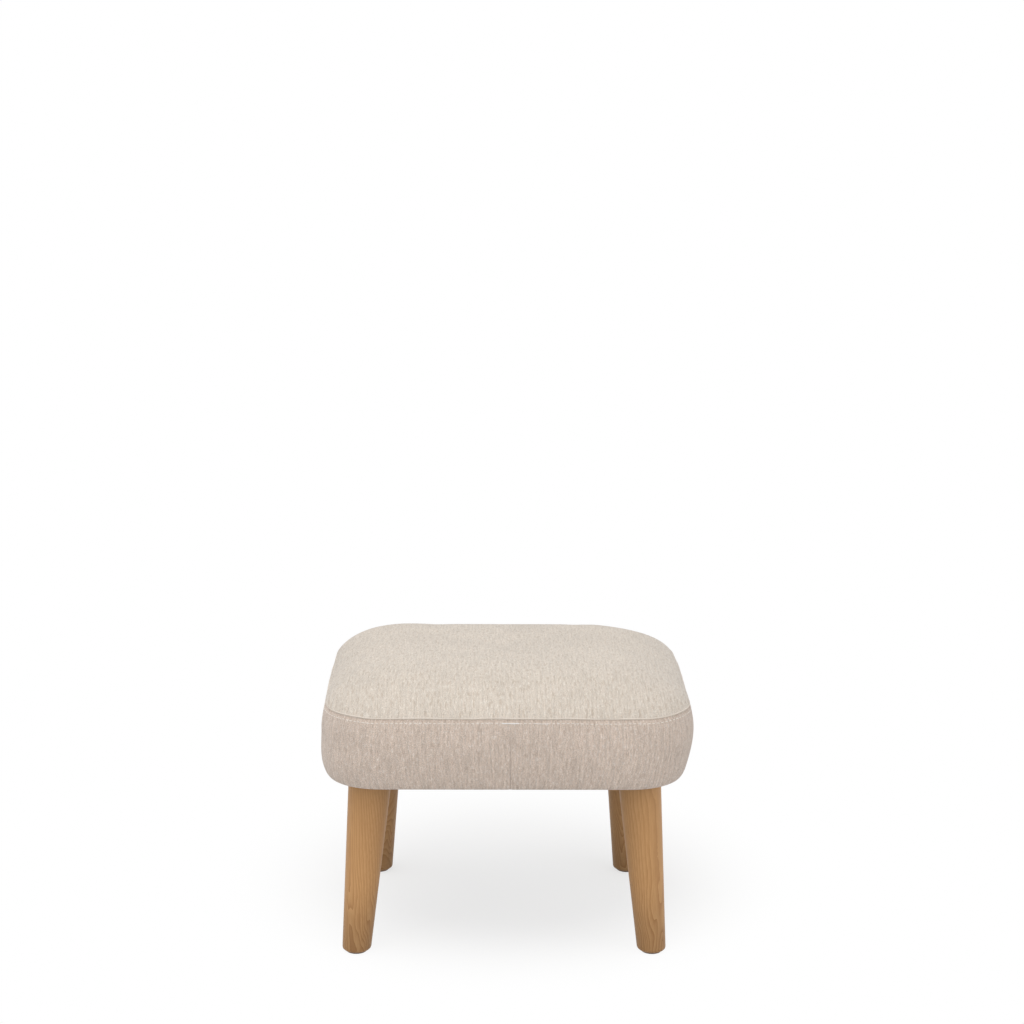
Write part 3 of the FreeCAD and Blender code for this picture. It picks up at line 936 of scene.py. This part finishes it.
def makeDustCover():
    # one cloth: flat on the turned hem at its rim, stepping up to the frame inside it, lightly wrinkled
    deselectAll()
    bpy.ops.mesh.primitive_grid_add(x_subdivisions=dustSheet["columns"],
                                    y_subdivisions=dustSheet["rows"], size=2)
    piece = bpy.context.object
    piece.name = "dustCover"
    for v in piece.data.vertices:
        s = max(abs(v.co.x), abs(v.co.y))
        edge = squareEdge(v.co)
        rim = planPoint(edge[0], edge[1], dustSheet["rimOuter"])
        flat = rim * (1 - (1 - s) ** dustSheet["columnCrowding"])
        inset = insideBy(flat.x, flat.y) - dustSheet["rimInner"]
        step = eased(clamped((inset - dustSheet["stepAfter"]) / dustSheet["stepOver"]))
        spot = Vector((flat.x * dustSheet["wrinkleScale"], flat.y * dustSheet["wrinkleScale"], 8.1))
        wrinkle = dustSheet["wrinkle"] * step * noise.noise(spot)
        v.co = (flat.x, flat.y, dustSheet["rimLevel"] + dustSheet["plateRise"] * step + wrinkle)
    thick = piece.modifiers.new("thick", "SOLIDIFY")
    thick.thickness = dustSheet["thickness"]
    thick.offset = 1
    applyAll(piece)
    faceOutwards(piece)
    piece.data.materials.append(dustCloth)
    smooth(piece, smoothAngles["sheet"])
    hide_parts("dust_cover")
    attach(piece, "root")


def makeStaples():
    # wire staples driven through dust cover and hem, all one group
    mesh = bmesh.new()
    path = roundTheOutline(staple["steps"], staple["inset"])
    total = sum((path[i] - path[i - 1]).length for i in range(len(path)))
    count = round(total / staple["apart"])
    half, wire = staple["length"] / 2, staple["wire"]
    top = dustSheet["rimLevel"] + staple["sunk"]
    walked, k = 0.0, 0
    for i in range(1, len(path)):
        step = path[i] - path[i - 1]
        walked += step.length
        if walked < total * (k + 0.5) / count:
            continue
        along = step.normalized()
        swerve = staple["swerve"] * noise.noise(Vector((k * 3.1, 0.7, 0)))
        along = (along + Vector((-along.y, along.x)) * swerve).normalized()
        across = Vector((-along.y, along.x))
        rings = []
        for lengthwise, down in staple["bends"]:
            x, y = path[i] + along * (half * lengthwise)
            low = top - wire * down
            corners = [(x + across.x * (a * wire), y + across.y * (a * wire), low + b * wire)
                       for a, b in staple["section"]]
            rings.append([mesh.verts.new(corner) for corner in corners])
        joinRings(mesh, rings)
        k += 1
    meshPiece("staples", mesh, zincSteel)


makeDustCover()
makeStaples()
print("fillings made")

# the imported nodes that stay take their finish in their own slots
legHeadings = {"front_left": 0.5, "front_right": 1.9, "back_left": 2.7, "back_right": 0.1}
finishes = {
    "glide_": glidePlastic, "corner_block_": beechBlock, "seat_board": birchPly,
    "front_rail": pineSide, "back_rail": pineSide, "left_rail": pineRail, "right_rail": pineRail,
    "frame_screws": zincSteel, "hanger_bolts": zincSteel, "threaded_inserts": zincSteel,
}
for place, heading in legHeadings.items():
    low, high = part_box("leg_" + place)
    middle = (low + high) / 2
    # painted shade: the back legs are darkened for the shade under the seat
    paintedLegShade = legWood["backTone"] if "back" in place else 1.0
    finishes["leg_" + place] = satinBeech("satinBeech." + place, middle, heading, heading * 3.7, paintedLegShade)
for name, node in nodes.items():
    if node.hide_render:
        continue
    material = next(m for k, m in finishes.items() if name.startswith(k))
    for slot in node.material_slots:
        slot.material = material
print("node finishes set")
